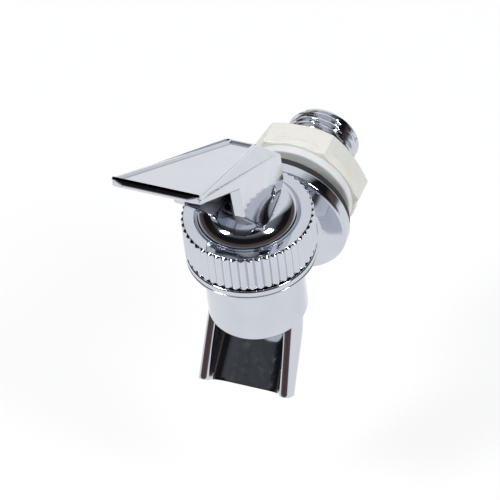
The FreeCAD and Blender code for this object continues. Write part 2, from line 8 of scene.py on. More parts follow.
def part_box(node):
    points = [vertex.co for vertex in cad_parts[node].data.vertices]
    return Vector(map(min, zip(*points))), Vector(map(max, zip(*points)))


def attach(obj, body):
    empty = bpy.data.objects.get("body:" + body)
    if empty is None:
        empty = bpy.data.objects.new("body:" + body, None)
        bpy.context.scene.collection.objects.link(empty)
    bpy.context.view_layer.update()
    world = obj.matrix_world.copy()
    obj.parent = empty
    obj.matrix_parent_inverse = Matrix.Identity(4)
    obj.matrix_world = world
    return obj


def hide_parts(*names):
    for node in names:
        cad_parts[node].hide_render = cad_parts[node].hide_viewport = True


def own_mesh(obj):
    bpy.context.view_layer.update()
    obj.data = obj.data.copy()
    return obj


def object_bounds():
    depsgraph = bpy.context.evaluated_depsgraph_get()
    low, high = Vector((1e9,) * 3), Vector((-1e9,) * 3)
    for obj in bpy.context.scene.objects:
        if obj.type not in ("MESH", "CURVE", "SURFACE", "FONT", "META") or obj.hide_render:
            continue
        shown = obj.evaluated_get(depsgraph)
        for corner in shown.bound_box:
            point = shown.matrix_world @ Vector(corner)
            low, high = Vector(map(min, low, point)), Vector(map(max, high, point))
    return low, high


# A beverage dispenser spigot. Lengths are in millimetres, and MM turns them to the scene's
# metres. Only the lamps and the floor have theirs in metres.
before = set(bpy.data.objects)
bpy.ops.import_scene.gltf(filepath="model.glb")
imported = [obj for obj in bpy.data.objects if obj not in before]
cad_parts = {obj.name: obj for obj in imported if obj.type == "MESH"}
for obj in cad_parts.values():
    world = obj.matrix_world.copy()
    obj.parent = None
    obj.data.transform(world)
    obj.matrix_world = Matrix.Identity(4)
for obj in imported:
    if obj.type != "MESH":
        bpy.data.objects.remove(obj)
cad_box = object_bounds()
MM = 0.001

# View. The camera stands where the photograph's camera stood: 26 degrees to the right of
# the spout, 46 degrees above it and 1.3 m away, with a small roll. Its long lens leaves room
# round the spigot for the lever to swing.
AZIMUTH = math.radians(26.0)
ELEVATION = math.radians(46.0)
ROLL = math.radians(7.0)
DISTANCE = 1300 * MM
VIEW_WIDTH = 104 * MM
LOOK_AT = Vector((2.5, -27.0, 13.5)) * MM
SENSOR = 36
NEAREST = 0.01

right = Vector((math.cos(AZIMUTH), math.sin(AZIMUTH), 0))
back = Vector((
    math.sin(AZIMUTH) * math.cos(ELEVATION),
    -math.cos(AZIMUTH) * math.cos(ELEVATION),
    math.sin(ELEVATION),
))
up = back.cross(right)
rolled_right = right * math.cos(ROLL) - up * math.sin(ROLL)
rolled_up = right * math.sin(ROLL) + up * math.cos(ROLL)
camera_data = bpy.data.cameras.new("camera")
camera_data.sensor_width = SENSOR
camera_data.lens = SENSOR * DISTANCE / VIEW_WIDTH
camera_data.clip_start = NEAREST
camera = bpy.data.objects.new("camera", camera_data)
bpy.context.scene.collection.objects.link(camera)
turn = Matrix((rolled_right, rolled_up, back)).transposed().to_4x4()
camera.matrix_world = Matrix.Translation(LOOK_AT + back * DISTANCE) @ turn
bpy.context.scene.camera = camera
bpy.context.scene.view_settings.view_transform = "Standard"

# Studio. A pale sweep under and behind the spigot, a dark room above and in front of it,
# and two soft boxes. Chrome shows all of it, so the sweep gives the light greys of the
# upright walls and the dark room gives the dark of the dome.


def to_linear(colour):
    """A six-digit sRGB hex colour as linear red, green, blue and alpha."""
    parts = [int(colour[i:i + 2], 16) / 255 for i in (0, 2, 4)]
    linear = [p / 12.92 if p <= 0.04045 else ((p + 0.055) / 1.055) ** 2.4 for p in parts]
    return (*linear, 1.0)


def add_node(tree, kind, inputs=None, **settings):
    """Adds a node, sets its properties, and sets or links its inputs.

    A colour mix takes its two colours at inputs 6 and 7 and gives output 2.
    """
    node = tree.nodes.new(kind)
    for name, value in settings.items():
        setattr(node, name, value)
    for name, value in (inputs or {}).items():
        if isinstance(value, bpy.types.NodeSocket):
            tree.links.new(value, node.inputs[name])
        else:
            node.inputs[name].default_value = value
    return node


SWEEP_COLOUR = "fafbfd"
SWEEP_DIRECTION = (-0.25, 0.84, 0.48)
SWEEP_EDGE = (0.66, 0.84)
ROOM_COLOUR = "15171a"
SKIRTING_COLOUR = "5f4d49"
SKIRTING_EDGE = (0.12, 0.28)
CEILING_COLOUR = "8d9095"
CEILING_EDGE = (0.62, 0.98)
DAYLIGHT = "f4f7ff"
DAYLIGHT_STRENGTH = 0.55
WHITE = (1, 1, 1, 1)

world = bpy.data.worlds.new("studio")
bpy.context.scene.world = world
world.use_nodes = True
tree = world.node_tree
tree.nodes.clear()
direction = add_node(tree, "ShaderNodeTexCoord").outputs["Generated"]
behind = add_node(tree, "ShaderNodeVectorMath", {0: direction, 1: SWEEP_DIRECTION},
                  operation="DOT_PRODUCT")
sweep = add_node(tree, "ShaderNodeMapRange", {
    "Value": behind.outputs["Value"], "From Min": SWEEP_EDGE[0], "From Max": SWEEP_EDGE[1]})
split = add_node(tree, "ShaderNodeSeparateXYZ", {0: direction})
above = add_node(tree, "ShaderNodeMapRange", {
    "Value": split.outputs["Z"], "From Min": SKIRTING_EDGE[0], "From Max": SKIRTING_EDGE[1]})
overhead = add_node(tree, "ShaderNodeMapRange", {
    "Value": split.outputs["Z"], "From Min": CEILING_EDGE[0], "From Max": CEILING_EDGE[1]})
walls = add_node(tree, "ShaderNodeMix", {
    "Factor": above.outputs["Result"],
    6: to_linear(SKIRTING_COLOUR), 7: to_linear(ROOM_COLOUR)},
    data_type="RGBA").outputs[2]
dark = add_node(tree, "ShaderNodeMix", {
    "Factor": overhead.outputs["Result"], 6: walls, 7: to_linear(CEILING_COLOUR)},
    data_type="RGBA").outputs[2]
room = add_node(tree, "ShaderNodeMix", {
    "Factor": sweep.outputs["Result"], 6: dark, 7: to_linear(SWEEP_COLOUR)},
    data_type="RGBA").outputs[2]
path = add_node(tree, "ShaderNodeLightPath")
mirrored = add_node(tree, "ShaderNodeBackground", {"Color": room, "Strength": 1.0})
soft = add_node(tree, "ShaderNodeBackground", {
    "Color": to_linear(DAYLIGHT), "Strength": DAYLIGHT_STRENGTH})
seen = add_node(tree, "ShaderNodeBackground", {"Color": WHITE, "Strength": 1.0})
lit = add_node(tree, "ShaderNodeMixShader", {
    0: path.outputs["Is Glossy Ray"], 1: soft.outputs[0], 2: mirrored.outputs[0]})
shown = add_node(tree, "ShaderNodeMixShader", {
    0: path.outputs["Is Camera Ray"], 1: lit.outputs[0], 2: seen.outputs[0]})
add_node(tree, "ShaderNodeOutputWorld", {"Surface": shown.outputs[0]})


def soft_box(name, place, aim, width, height, power):
    """A rectangular lamp that shines at a point of the spigot."""
    lamp = bpy.data.lights.new(name, "AREA")
    lamp.shape = "RECTANGLE"
    lamp.size = width
    lamp.size_y = height
    lamp.energy = power
    holder = bpy.data.objects.new(name, lamp)
    bpy.context.scene.collection.objects.link(holder)
    facing = (Vector(place) - Vector(aim)).to_track_quat("Z", "Y")
    holder.matrix_world = Matrix.Translation(Vector(place)) @ facing.to_matrix().to_4x4()


KEY_PLACE = (-0.55, -0.55, 0.95)
KEY_SIZE = (0.22, 0.30)
KEY_POWER = 8.0
FILL_PLACE = (0.75, -0.20, 0.80)
FILL_SIZE = (0.20, 0.30)
FILL_POWER = 5.0
soft_box("key_light", KEY_PLACE, LOOK_AT, *KEY_SIZE, KEY_POWER)
soft_box("fill_light", FILL_PLACE, LOOK_AT, *FILL_SIZE, FILL_POWER)

# Floor. A sheet of matt white board below the spout. The camera sees it mostly as plain
# white, with a faint shadow of the spigot. The chrome sees it end half a metre in front,
# where the dark room begins, and go on behind as the pale sweep. That end is a painted
# reflection: the board itself goes on, and for glossy rays the room's dark colour is
# painted on it from there out.
FLOOR_DROP = 40 * MM
FLOOR_HALF = 3.0
FLOOR_COLOUR = "f2f2f2"
FLOOR_WHITE = 0.8
# Distances from the spigot, in metres, over which the painted reflection of the dark room
# fades in.
PAINTED_ROOM_FADE = (0.22, 0.55)


def new_material(name):
    """A material without nodes, and its node tree."""
    material = bpy.data.materials.new(name)
    material.use_nodes = True
    material.node_tree.nodes.clear()
    return material, material.node_tree


floor_mesh = bpy.data.meshes.new("floor")
floor_mesh.from_pydata(
    [(x, y, cad_box[0][2] - FLOOR_DROP) for x, y in (
        (-FLOOR_HALF, -FLOOR_HALF), (FLOOR_HALF, -FLOOR_HALF),
        (FLOOR_HALF, FLOOR_HALF), (-FLOOR_HALF, FLOOR_HALF))],
    [], [(0, 1, 2, 3)])
floor = bpy.data.objects.new("floor", floor_mesh)
bpy.context.scene.collection.objects.link(floor)
board, tree = new_material("matt_white_board")
path = add_node(tree, "ShaderNodeLightPath")
place = add_node(tree, "ShaderNodeTexCoord").outputs["Object"]
split = add_node(tree, "ShaderNodeSeparateXYZ", {0: place})
forward = add_node(tree, "ShaderNodeMath", {0: split.outputs["Y"], 1: 0.0},
                   operation="MINIMUM")
flat = add_node(tree, "ShaderNodeCombineXYZ", {
    "X": split.outputs["X"], "Y": forward.outputs[0]}).outputs[0]
distance = add_node(tree, "ShaderNodeVectorMath", {0: flat}, operation="LENGTH")
# Painted reflection: away from the spigot the board shows glossy rays the dark room's colour.
painted_room_fade = add_node(tree, "ShaderNodeMapRange", {
    "Value": distance.outputs["Value"], "From Min": PAINTED_ROOM_FADE[0], "From Max": PAINTED_ROOM_FADE[1],
    "To Min": 1.0, "To Max": 0.0})
board_with_painted_room = add_node(tree, "ShaderNodeMix", {
    "Factor": painted_room_fade.outputs["Result"], 6: to_linear(ROOM_COLOUR), 7: WHITE},
    data_type="RGBA").outputs[2]
colour = add_node(tree, "ShaderNodeMix", {
    "Factor": path.outputs["Is Glossy Ray"], 6: WHITE, 7: board_with_painted_room},
    data_type="RGBA").outputs[2]
seen = add_node(tree, "ShaderNodeMath", {
    0: path.outputs["Is Camera Ray"], 1: path.outputs["Is Glossy Ray"]}, operation="MAXIMUM")
share = add_node(tree, "ShaderNodeMath", {0: seen.outputs[0], 1: FLOOR_WHITE},
                 operation="MULTIPLY")
diffuse = add_node(tree, "ShaderNodeBsdfDiffuse", {"Color": to_linear(FLOOR_COLOUR)})
white = add_node(tree, "ShaderNodeEmission", {"Color": colour, "Strength": 1.0})
surface = add_node(tree, "ShaderNodeMixShader", {
    0: share.outputs[0], 1: diffuse.outputs[0], 2: white.outputs[0]})
add_node(tree, "ShaderNodeOutputMaterial", {"Surface": surface.outputs[0]})
floor_mesh.materials.append(board)

# Bonnet. The cap that holds the valve in the barrel: ABS moulded with fine ribs for the
# fingers and a domed top, then chrome plated. It screws on the barrel's throat.
PLATE_COLOUR = "cfd3db"
PLATE_SHADE = "c4c8d1"
PLATE_WAVE = 6.0
PLATE_WAVE_RISE = 0.12
PLATE_HAZE = 1.5
PLATE_ROUGHNESS = (0.05, 0.11)

plate, tree = new_material("chrome_plate")
# Copper, nickel and chromium on the moulded ABS: a blue-white mirror whose slight waviness is
# the moulding's, and whose faint haze comes from handling.
place = add_node(tree, "ShaderNodeTexCoord").outputs["Object"]
wave = add_node(tree, "ShaderNodeTexNoise", {
    "Vector": place, "Scale": 1 / (PLATE_WAVE * MM), "Detail": 2.0, "Roughness": 0.4})
haze = add_node(tree, "ShaderNodeTexNoise", {
    "Vector": place, "Scale": 1 / (PLATE_HAZE * MM), "Detail": 5.0, "Roughness": 0.6})
tint = add_node(tree, "ShaderNodeMix", {
    "Factor": wave.outputs["Fac"], 6: to_linear(PLATE_COLOUR), 7: to_linear(PLATE_SHADE)},
    data_type="RGBA")
rough = add_node(tree, "ShaderNodeMapRange", {
    "Value": haze.outputs["Fac"], "From Min": 0.3, "From Max": 0.7,
    "To Min": PLATE_ROUGHNESS[0], "To Max": PLATE_ROUGHNESS[1]})
ripple = add_node(tree, "ShaderNodeBump", {
    "Height": wave.outputs["Fac"], "Strength": 0.08, "Distance": PLATE_WAVE_RISE * MM})
shader = add_node(tree, "ShaderNodeBsdfPrincipled", {
    "Base Color": tint.outputs[2], "Metallic": 1.0, "Roughness": rough.outputs["Result"],
    "Normal": ripple.outputs["Normal"]})
add_node(tree, "ShaderNodeOutputMaterial", {"Surface": shader.outputs[0]})


def size_of(node):
    """Lowest and highest corner of a CAD node, in millimetres."""
    low_corner, high_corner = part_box(node)
    return low_corner / MM, high_corner / MM


low, high = size_of("bonnet")
axis_y = (low.y + high.y) / 2
BARREL = (0, axis_y, 0)
RIM_RADIUS = high.x
RIM_HEIGHT = 8.6
RIM_TOP_RADIUS = 13.4
RIM_TOP = low.z + 9.0
DOME_GROOVE = 0.4
DOME_RADIUS = 10.9
DOME_FOOT = RIM_TOP - DOME_GROOVE
DOME_FLAT = 7.6
DOME_CURVE = 4.6
THREAD_BORE = 11.45
CHAMBER = 7.6
CHAMBER_TOP = high.z - 2.2
SHOULDER = 15.5
GUIDE = 3.08
RIBS = 48
RIB_DEPTH = 0.55
RIB_FADE = 1.3
RIB_FULLNESS = 0.6
MOST_OF_SIDE = 0.48


def rounded(corners, steps=4):
    """An outline whose corners (across, up, radius) are rounded by arcs.

    An arc takes up to MOST_OF_SIDE of the shorter side next to it.
    """
    outline = []
    count = len(corners)
    for i, (x, y, radius) in enumerate(corners):
        here = Vector((x, y))
        if radius == 0:
            outline.append(here)
            continue
        towards = [Vector(corners[(i + k) % count][:2]) - here for k in (-1, 1)]
        a, b = (t.normalized() for t in towards)
        half = a.angle(b) / 2
        trim = min(radius / math.tan(half), MOST_OF_SIDE * min(t.length for t in towards))
        true_radius = trim * math.tan(half)
        centre = here + (a + b).normalized() * true_radius / math.sin(half)
        start = here + a * trim - centre
        finish = here + b * trim - centre
        for k in range(steps + 1):
            outline.append(centre + start.slerp(finish, k / steps) * true_radius)
    return outline


def arc_between(start, finish, radius, steps=10):
    """Points on the arc that bulges to the right of the way from start to finish."""
    start, finish = Vector(start), Vector(finish)
    chord = finish - start
    rightwards = Vector((chord.y, -chord.x)).normalized()
    centre = (start + finish) / 2 - rightwards * math.sqrt(radius ** 2 - chord.length ** 2 / 4)
    return [centre + (start - centre).slerp(finish - centre, k / steps) * radius
            for k in range(steps + 1)]


def ribbed(radius, angle, along):
    """The rim's radius between rounded ribs, which fade on its sloping top."""
    if radius <= RIM_TOP_RADIUS or along > RIM_TOP:
        return radius
    share = min(1.0, (radius - RIM_TOP_RADIUS) / (RIM_RADIUS - RIM_TOP_RADIUS) * RIB_FADE)
    swing = 0.5 + 0.5 * math.cos(RIBS * angle)
    return radius - RIB_DEPTH * share * (1 - swing ** RIB_FULLNESS)


outline = rounded([
    (THREAD_BORE, low.z, 0.2),
    (RIM_RADIUS, low.z, 0.5),
    (RIM_RADIUS, low.z + RIM_HEIGHT, 0.25),
    (RIM_TOP_RADIUS, RIM_TOP, 0.25),
    (DOME_RADIUS + DOME_GROOVE, RIM_TOP, 0.15),
    *((p.x, p.y, 0) for p in arc_between((DOME_RADIUS, DOME_FOOT), (DOME_FLAT, high.z),
                                         DOME_CURVE)),
    (GUIDE, high.z, 0.3),
    (GUIDE, CHAMBER_TOP, 0),
    (CHAMBER, CHAMBER_TOP, 0.8),
    (CHAMBER, SHOULDER, 0),
    (THREAD_BORE, SHOULDER, 0),
], steps=6)
ON_AXIS = 1e-6


def turned(outline, centre, axis, steps, shape=None):
    """A solid turned from a closed outline (radius, along) about an axis.

    Points on the axis become single vertices. shape, where given, changes a
    radius by its angle and place along the axis.
    """
    bm = bmesh.new()
    rings = []
    for radius, along in outline:
        ring = []
        for k in range(1 if radius < ON_AXIS else steps):
            angle = 2 * math.pi * k / steps
            reach = shape(radius, angle, along) if shape else radius
            across = Vector((reach * math.cos(angle), reach * math.sin(angle), along))
            if axis == "Y":
                across = across.xzy
            if axis == "X":
                across = across.zxy
            ring.append(bm.verts.new((Vector(centre) + across) * MM))
        rings.append(ring)
    for ring, following in zip(rings, rings[1:] + rings[:1]):
        for k in range(steps):
            a, b = ring[k % len(ring)], ring[(k + 1) % len(ring)]
            c, d = following[(k + 1) % len(following)], following[k % len(following)]
            corners = list(dict.fromkeys((a, b, c, d)))
            if len(corners) > 2:
                bm.faces.new(corners)
    bmesh.ops.recalc_face_normals(bm, faces=bm.faces)
    return bm


SMOOTH_BELOW = math.radians(40.0)


def to_mesh(bm, name):
    """Closes a bmesh into mesh data, smooth apart from its sharp edges.

    Its normals follow the larger faces, so flats stay flat up to their rounded edges.
    """
    for face in bm.faces:
        face.smooth = True
    for edge in bm.edges:
        edge.smooth = len(edge.link_faces) == 2 and edge.calc_face_angle(0) < SMOOTH_BELOW
    data = bpy.data.meshes.new(name)
    bm.to_mesh(data)
    bm.free()
    piece = bpy.data.objects.new(name, data)
    bpy.context.scene.collection.objects.link(piece)
    weighted = piece.modifiers.new("flat_faces", "WEIGHTED_NORMAL")
    weighted.keep_sharp = True
    depsgraph = bpy.context.evaluated_depsgraph_get()
    shaded = bpy.data.meshes.new_from_object(piece.evaluated_get(depsgraph),
                                             depsgraph=depsgraph)
    bpy.data.objects.remove(piece)
    bpy.data.meshes.remove(data)
    return shaded


def finish_piece(name, mesh_data, body, node, material):
    """Puts a finished mesh in the scene as the piece that stands for a CAD node."""
    piece = bpy.data.objects.new(name, mesh_data)
    bpy.context.scene.collection.objects.link(piece)
    mesh_data.materials.append(material)
    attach(piece, body)
    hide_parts(node)
    return piece


bm = turned(outline, BARREL, "Z", steps=RIBS * 10, shape=ribbed)
finish_piece("ribbed_bonnet", to_mesh(bm, "ribbed_bonnet"), "shell", "bonnet",
             plate)

# Lever. The handle over the cap: one moulding of chrome-plated ABS, hollow underneath,
# with two cheeks that straddle the stem and bear on the dome as a cam.
low, high = size_of("lever")
pin_low, pin_high = size_of("pivot_pin")
PIN = Vector((0, axis_y, (pin_low.z + pin_high.z) / 2))
PIN_RADIUS = (pin_high.z - pin_low.z) / 2
LEVER_WALL = 2.3
# Each pair is a place in the side view: out in front of the pin, and rise above it.
ROOT = (-2.2, 11.5)
TIP = (axis_y - low.y, high.z - PIN.z)
ROOT_HALF = 3.15
TIP_HALF = 9.75
TIP_BOW = 1.6
TIP_FACET = math.radians(50.0)
LIP = 3.2
LIP_LEAN = 1.1
ROOT_WALL = 3.4
CHEEK_HALF = 5.7
SLOT_HALF = 3.2
CHEEK_FRONT = (18.6, 20.0)
CHEEK_CORNER = (17.5, 10.8)
HUB_BACK = (-7.2, 4.6)
SHOULDER_RISE = 3.2
CAM_GAP = 0.15
VALVE_LIFT = 3.0
PRESS_ANGLE = math.radians(45.0)
CAM_STEPS = 14
LEVER_ROUND = 0.4
ROUND_STEPS = 3
ROUND_ABOVE = math.radians(25.0)
BOW_STEPS = 150
BORDER = 0.85
DISH = 0.45
DISH_SIDE = 0.36
FLAT_WITHIN = math.radians(0.4)
WELD = 0.002


def extruded(outline, half):
    """A prism across the lever from corners (out, rise) of its middle plane."""
    bm = bmesh.new()
    sides = [[bm.verts.new(Vector((side, PIN.y - out, PIN.z + rise)) * MM)
              for out, rise in outline] for side in (-half, half)]
    bm.faces.new(sides[0])
    bm.faces.new(reversed(sides[1]))
    count = len(outline)
    for k in range(count):
        near = (k + 1) % count
        bm.faces.new((sides[0][near], sides[0][k], sides[1][k], sides[1][near]))
    bmesh.ops.recalc_face_normals(bm, faces=bm.faces)
    return bm


def lofted(sections):
    """A solid through sections of one side's corners (side, out, rise), mirrored."""
    bm = bmesh.new()
    rings = []
    for corners in sections:
        ring = [*corners, *((-side, out, rise) for side, out, rise in reversed(corners))]
        rings.append([bm.verts.new(Vector((side, PIN.y - out, PIN.z + rise)) * MM)
                      for side, out, rise in ring])
    count = len(rings[0])
    for ring, following in zip(rings, rings[1:]):
        for k in range(count):
            near = (k + 1) % count
            bm.faces.new((ring[k], ring[near], following[near], following[k]))
    bm.faces.new(reversed(rings[0]))
    bm.faces.new(rings[-1])
    bmesh.ops.recalc_face_normals(bm, faces=bm.faces)
    return bm


def combine(first, second, operation):
    """Joins, cuts or intersects two solids, and takes the second away."""
    pieces = []
    for bm in (first, second):
        bmesh.ops.triangulate(bm, faces=bm.faces)
        data = bpy.data.meshes.new("solid")
        bm.to_mesh(data)
        bm.free()
        piece = bpy.data.objects.new("solid", data)
        bpy.context.scene.collection.objects.link(piece)
        pieces.append(piece)
    tool = pieces[0].modifiers.new("combine", "BOOLEAN")
    tool.operation = operation
    tool.solver = "MANIFOLD"
    tool.object = pieces[1]
    depsgraph = bpy.context.evaluated_depsgraph_get()
    bm = bmesh.new()
    bm.from_object(pieces[0], depsgraph)
    for piece in pieces:
        data = piece.data
        bpy.data.objects.remove(piece)
        bpy.data.meshes.remove(data)
    bmesh.ops.remove_doubles(bm, verts=bm.verts, dist=WELD * MM)
    return bm


def flats_merged(bm):
    """Takes away the edges between triangles of one flat face."""
    bmesh.ops.dissolve_limit(bm, angle_limit=FLAT_WITHIN, verts=bm.verts, edges=bm.edges)
    bm.normal_update()
    return bm


def edge_rounded(bm, width, leave=frozenset()):
    """Rounds the edges sharper than ROUND_ABOVE, but none between the points to leave."""
    sharp = [edge for edge in bm.edges
             if len(edge.link_faces) == 2 and edge.calc_face_angle(0) > ROUND_ABOVE
             and not leave.issuperset(edge.verts)]
    bmesh.ops.bevel(bm, geom=sharp, offset=width * MM, offset_type="OFFSET",
                    segments=ROUND_STEPS, profile=0.5, affect="EDGES",
                    clamp_overlap=False)
    return bm


def top_at(out):
    """Rise of the paddle's top face, carried on, at a way out from the pin."""
    return ROOT[1] + (TIP[1] - ROOT[1]) * (out - ROOT[0]) / (TIP[0] - ROOT[0])


def widen(out, root, tip):
    """A half width at a way out, between its values at the paddle's root and tip."""
    return root + (tip - root) * (out - ROOT[0]) / (TIP[0] - ROOT[0])


# The cam is an involute: its lowest point sinks by the same way for each degree of press.
cam_height = PIN.z - size_of("bonnet")[1].z - CAM_GAP
cam_rate = VALVE_LIFT / PRESS_ANGLE
cam = []
for i in range(CAM_STEPS + 1):
    angle = PRESS_ANGLE * i / CAM_STEPS
    reach = cam_height + cam_rate * angle
    cam.append((reach * math.sin(angle) + cam_rate * math.cos(angle),
                cam_rate * math.sin(angle) - reach * math.cos(angle)))
hub_foot = cam[0][1]
below = hub_foot - LEVER_WALL
above = TIP[1] + LEVER_WALL
# Outside: the side view, crossed with sections that widen from the root to the tip.
side_view = [
    (HUB_BACK[0], hub_foot + LEVER_WALL / 2), HUB_BACK, ROOT, TIP,
    (TIP[0] - LIP_LEAN, TIP[1] - LIP), CHEEK_FRONT, CHEEK_CORNER,
    *reversed(cam), (HUB_BACK[0] + LEVER_WALL / 2, hub_foot),
]
ends = []
for out, crease in ((HUB_BACK[0] - LEVER_WALL, SHOULDER_RISE),
                    (TIP[0] + LEVER_WALL, top_at(TIP[0] + LEVER_WALL) - LIP_LEAN)):
    foot_half = max(widen(out, CHEEK_HALF, TIP_HALF), CHEEK_HALF)
    ends.append([(foot_half, out, below), (foot_half, out, crease),
                 (widen(out, ROOT_HALF, TIP_HALF), out, top_at(out))])
bm = combine(extruded(side_view, TIP_HALF * 2), lofted(ends), "INTERSECT")

# The tip is bowed as seen from above, and its front slopes.
bow_radius = (TIP_HALF ** 2 + TIP_BOW ** 2) / (2 * TIP_BOW)
disc = turned([(0, PIN.z + below), (bow_radius, PIN.z + below), (bow_radius, PIN.z + above),
               (0, PIN.z + above)], (0, PIN.y - TIP[0] + bow_radius, 0), "Z", steps=BOW_STEPS)
bm = combine(bm, disc, "INTERSECT")
chord = TIP[0] - TIP_BOW
reach = LEVER_WALL * 3
facet = extruded([
    (chord, top_at(chord)), (chord + reach, top_at(chord) - reach * math.tan(TIP_FACET)),
    (chord + reach, above + reach), (chord, above + reach)], TIP_HALF * 2)
bm = combine(bm, facet, "DIFFERENCE")

# The hollow underneath is also the slot that the stem stands in.
slot_back = HUB_BACK[0] + LEVER_WALL
hollow_tip = TIP[0] - LIP
under_view = [
    (slot_back, below), (slot_back, HUB_BACK[1] - LEVER_WALL / 2),
    (ROOT[0] + LEVER_WALL / 2, ROOT[1] - ROOT_WALL),
    (hollow_tip, top_at(hollow_tip) - LEVER_WALL), (hollow_tip, below),
]
ends = []
for out in (HUB_BACK[0] - LEVER_WALL, TIP[0]):
    half = max(widen(out, SLOT_HALF, TIP_HALF - LEVER_WALL), SLOT_HALF)
    ends.append([(half, out, below - LEVER_WALL), (half, out, above)])
hollow = combine(extruded(under_view, TIP_HALF * 2), lofted(ends), "INTERSECT")
bm = combine(bm, hollow, "DIFFERENCE")
hole = turned([(0, -TIP_HALF), (PIN_RADIUS, -TIP_HALF), (PIN_RADIUS, TIP_HALF), (0, TIP_HALF)],
              PIN, "X", steps=48)
bm = flats_merged(combine(bm, hole, "DIFFERENCE"))
# The top is a shallow panel inside a narrow border.
paddle_top = Vector((0, TIP[1] - ROOT[1], TIP[0] - ROOT[0])).normalized()
top_faces = [face for face in bm.faces if face.normal.angle(paddle_top) < FLAT_WITHIN]
face = max(top_faces, key=lambda face: face.calc_area())
panel = set()
for thickness, depth in ((LEVER_ROUND + BORDER, 0), (DISH_SIDE, -DISH)):
    bmesh.ops.inset_individual(bm, faces=[face], thickness=thickness * MM, depth=depth * MM)
    panel.update(face.verts)
bm = edge_rounded(bm, LEVER_ROUND, panel)
finish_piece("lever_moulding", to_mesh(bm, "lever_moulding"), "handle", "lever",
             plate)

# Body. Barrel, spout, neck, wall flange and threaded tail are one ABS moulding, plated like
# the bonnet. The valve slides in the barrel's bore, and the spout is an open channel.
# SPOUT_OUTSIDE and SPOUT_INSIDE give half width, front, back and corner at three heights.
BARREL_RADIUS = 10.6
BARREL_FOOT = -9.8
COLLAR_RADIUS = 13.9
COLLAR = (6.3, 8.5)
BEAD = 0.5
THROAT_RADIUS = 11.4
THROAT_TOP = 14.5
VALVE_BORE = 8.0
SEAT = -6.5
OUTLET = 5.0
SPOUT_TOP = -7.6
SPOUT_KNEE = -14.2
SPOUT_LIP = -26.3
SPOUT_WALL = 2.2
SPOUT_ROWS = 30
KNEE_ROUND = 1.6
FRONT_ROUND = 1.0
CAP_STEPS = 8
SIDE_STEPS = 8
BEND_STEPS = 8
REAR_STEPS = 4
KNEE_SAMPLES = 9
HALVINGS = 20
MOUTH_ROUND = 0.3
MOUTH_ABOVE = math.radians(50.0)
SEAT_CHAMFER = 0.6
OVERCUT = 1.0
SPOUT_OUTSIDE = (
    (SPOUT_TOP, 9.5, 4.3, 6.3, 6.0),
    (SPOUT_KNEE, 9.82, 7.9, 5.2, 6.0),
    (SPOUT_LIP, 10.4, 14.5, -8.4, 2.2),
)
SPOUT_INSIDE = (
    (BARREL_FOOT, 7.3, 5.5, 4.1, 4.0),
    (SPOUT_KNEE + SPOUT_WALL / 2, 7.6, 7.3, 3.0, 4.0),
    (SPOUT_LIP - SPOUT_WALL, 8.2, 15.7, -14.17, 3.2),
)
MOUTH = ((14.5, -21.6), (8.4, -26.3))


def section_at(stations, height):
    """Half width, front, back and corner at a height, with the bends eased over a way."""
    total = Vector((0, 0, 0, 0))
    for k in range(KNEE_SAMPLES):
        here = height + KNEE_ROUND * (2 * k / (KNEE_SAMPLES - 1) - 1)
        a, b = stations[:2] if here > stations[1][0] else stations[1:]
        share = (a[0] - here) / (a[0] - b[0])
        total += Vector(a[1:]).lerp(Vector(b[1:]), share)
    return total / KNEE_SAMPLES


def u_shape(half, front, back, corner):
    """Points (side, in front) round a U from one front edge to the other."""
    straight = [(half, front + (corner - back - front) * k / SIDE_STEPS)
                for k in range(SIDE_STEPS)]
    bend = [(half - corner + corner * math.cos(a), -back + corner - corner * math.sin(a))
            for a in (math.radians(90) * k / BEND_STEPS for k in range(BEND_STEPS + 1))]
    rear = [((half - corner) * (1 - k / REAR_STEPS), -back) for k in range(1, REAR_STEPS + 1)]
    near_side = straight + bend + rear
    return near_side + [(-side, out) for side, out in reversed(near_side[:-1])]


def spout_ring(height):
    """Points round the spout's wall at a height, with rounded front edges."""
    half, front, back, corner = section_at(SPOUT_OUTSIDE, height)
    inner_half, _, inner_back, inner_corner = section_at(SPOUT_INSIDE, height)
    straight_end = front - FRONT_ROUND
    outer = u_shape(half, straight_end, back, corner)
    inner = u_shape(inner_half, straight_end, inner_back, inner_corner)
    middle, reach = (half + inner_half) / 2, (half - inner_half) / 2
    cap = [(middle + reach * math.cos(a), straight_end + FRONT_ROUND * math.sin(a))
           for a in (math.pi * k / CAP_STEPS for k in range(1, CAP_STEPS))]
    far_cap = [(-side, out) for side, out in cap]
    return outer + far_cap + inner[::-1] + cap[::-1]


# Each column of the wall runs down until it meets the mouth's sloping plane. Halving the
# way between knee and lip finds the height where it does.
slope = (MOUTH[0][0] - MOUTH[1][0]) / (MOUTH[0][1] - MOUTH[1][1])
columns = []
for k in range(len(spout_ring(SPOUT_TOP))):
    high_end, low_end = SPOUT_KNEE, SPOUT_LIP - 2 * SPOUT_WALL
    for _ in range(HALVINGS):
        middle = (high_end + low_end) / 2
        if spout_ring(middle)[k][1] < MOUTH[0][0] + slope * (middle - MOUTH[0][1]):
            high_end = middle
        else:
            low_end = middle
    heights = [SPOUT_TOP + (high_end - SPOUT_TOP) * row / SPOUT_ROWS
               for row in range(SPOUT_ROWS + 1)]
    columns.append([(*spout_ring(height)[k], height) for height in heights])

